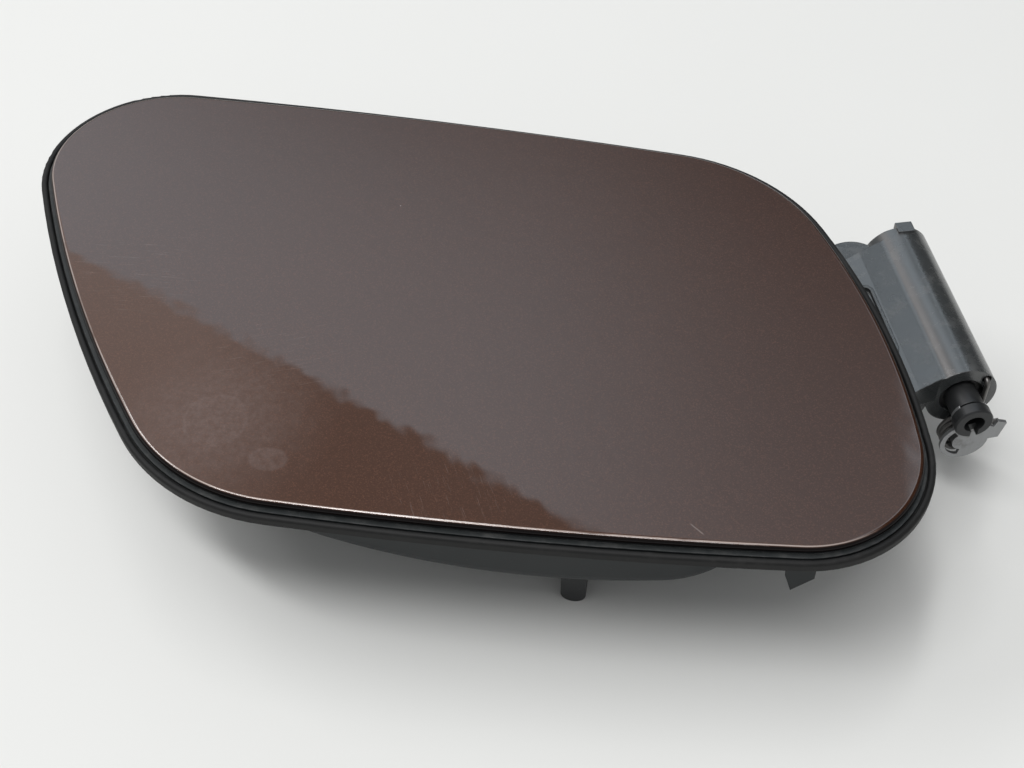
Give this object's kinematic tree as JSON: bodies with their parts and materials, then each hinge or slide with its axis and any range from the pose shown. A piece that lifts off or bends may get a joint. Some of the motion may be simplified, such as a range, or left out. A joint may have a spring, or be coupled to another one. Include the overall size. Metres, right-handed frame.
{
  "type": "fuel filler flap",
  "caption": "Painted car fuel filler flap with dished inner panel, rubber rim seal, cap cradle, latch loop and a sprung barrel hinge on its spindle.",
  "frame": {"origin": "on the hinge axis, at the mouth of the bore in the spindle's near end", "axes": "+Z is the outward side of the painted face, +X runs along the flap towards the hinge; the level hinge axis leans 17 degrees from Y in plan"},
  "size_m": [0.2318, 0.1298, 0.0435],
  "materials": {
    "paint": "brown metallic paint under clear coat",
    "panel_plastic": "smooth moulded dark grey",
    "seal_rubber": "soft dark rubber",
    "hinge_plastic": "satin moulded, filled",
    "bush_plastic": "plain pale bearing plastic",
    "spindle_steel": "dark phosphated",
    "carrier_steel": "stamped sheet steel",
    "spring_steel": "spring wire",
    "screw_steel": "zinc plated",
    "striker_steel": "zinc plated rod",
    "cradle_plastic": "moulded dark grey",
    "buffer_rubber": "moulded rubber"
  },
  "bodies": {
    "hinge_mount": {"hinge_spindle": "spindle_steel", "spindle_clip": "carrier_steel", "spring_carrier": "carrier_steel", "torsion_spring": "spring_steel"},
    "flap": {"outer_skin": "paint", "inner_panel": "panel_plastic", "rim_seal": "seal_rubber", "hinge_arm": "hinge_plastic", "near_bush": "bush_plastic", "far_bush": "bush_plastic", "cap_cradle": "cradle_plastic", "latch_striker": "striker_steel", "arm_screws": "screw_steel", "cradle_screws": "screw_steel", "striker_screws": "screw_steel", "buffer_free_low": "buffer_rubber", "buffer_hinge_low": "buffer_rubber", "buffer_hinge_high": "buffer_rubber", "buffer_free_high": "buffer_rubber"}
  },
  "joints": [
    {"name": "flap_hinge", "type": "hinge", "parent": "hinge_mount", "child": "flap", "pos_m": [0, 0, 0], "axis": [-0.2924, 0.9563, 0], "range_deg": [0, 95], "stiffness_Nm_per_rad": 0.05, "deforming": ["torsion_spring"]}
  ]
}
